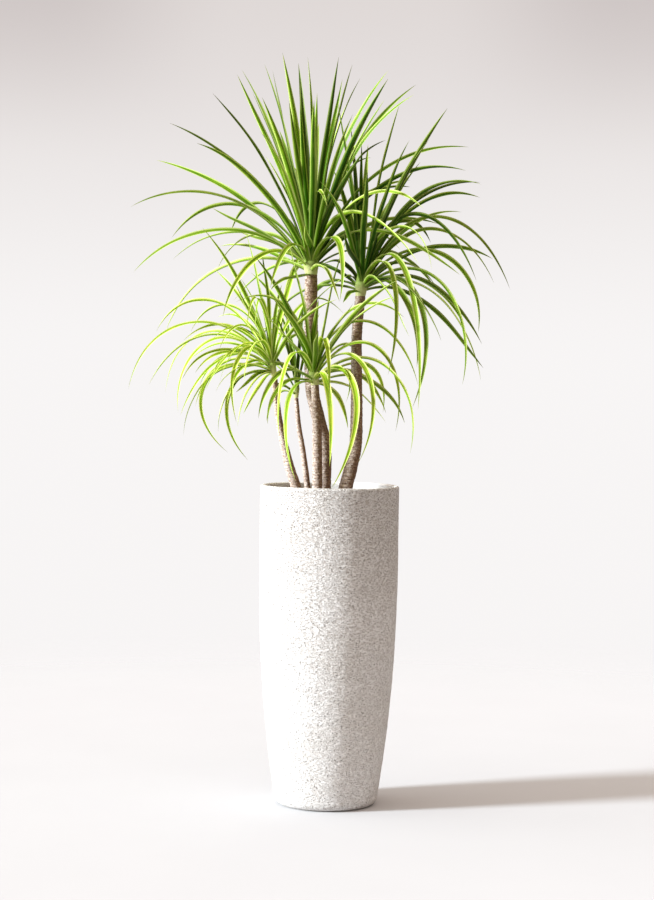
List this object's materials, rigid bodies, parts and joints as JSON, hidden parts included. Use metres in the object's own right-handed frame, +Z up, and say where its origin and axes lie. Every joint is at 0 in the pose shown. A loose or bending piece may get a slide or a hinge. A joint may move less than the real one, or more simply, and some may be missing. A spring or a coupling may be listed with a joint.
{
  "type": "potted dracaena",
  "caption": "House plant in a tall round tapering planter: bare ringed canes stand in soil, each topped by a head of long arching strap leaves.",
  "frame": {"origin": "centre of the planter's flat base, on the surface it stands on", "axes": "+Z up along the planter's axis, +X to the right of the plant's front, +Y away from the front"},
  "size_m": [0.913, 0.8359, 1.8025],
  "materials": {
    "planter": "rough pitted off-white fibre cement, matt",
    "soil": "crumbly dark potting soil, mostly bark and peat, matt",
    "bark": "grey-brown cane bark with fine leaf-scar rings, matt",
    "leaf": "green strap leaves with paler margins, satin"
  },
  "bodies": {
    "root": {"planter": "planter", "soil": "soil", "cane_a": "bark", "cane_b": "bark", "cane_c": "bark", "cane_d": "bark", "cane_e": "bark", "head_a": "leaf", "head_b": "leaf", "head_c": "leaf", "head_d": "leaf", "head_e": "leaf"}
  },
  "joints": []
}
